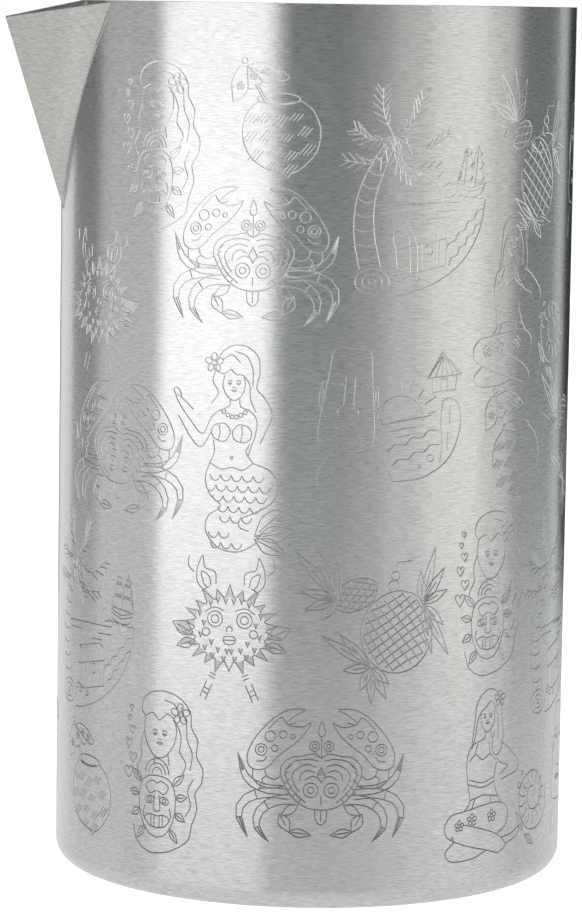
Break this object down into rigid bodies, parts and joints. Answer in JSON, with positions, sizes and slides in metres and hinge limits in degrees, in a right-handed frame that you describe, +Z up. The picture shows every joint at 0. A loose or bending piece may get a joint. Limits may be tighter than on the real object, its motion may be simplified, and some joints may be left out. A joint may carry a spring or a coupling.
{
  "type": "mixing glass",
  "caption": "Straight-sided double-walled steel stirring vessel with a folded V pouring spout at the rim and a flat base, its brushed outer wall etched with small line drawings.",
  "frame": {"origin": "on the vessel's axis, at the middle of its flat underside", "axes": "+Z up along the vessel's axis towards the open rim, -X towards the pouring spout"},
  "size_m": [0.1006, 0.09, 0.152],
  "materials": {
    "outer_steel": "fine horizontal brushing, satin, with etched matte grey line drawings",
    "spout_steel": "fine horizontal brushing, satin",
    "liner_steel": "satin, turned around the axis",
    "raw_steel": "as rolled, dull",
    "base_steel": "satin, turned around the axis",
    "solder_glass": "dark glossy solder glass",
    "getter_metal": "matte sintered pill"
  },
  "bodies": {
    "root": {"outer_shell": "outer_steel", "spout": "spout_steel", "inner_liner": "liner_steel", "vacuum_bottom": "raw_steel", "seal_bead": "solder_glass", "getter_pill": "getter_metal", "getter_clip": "raw_steel", "base_cover": "base_steel"}
  },
  "joints": []
}
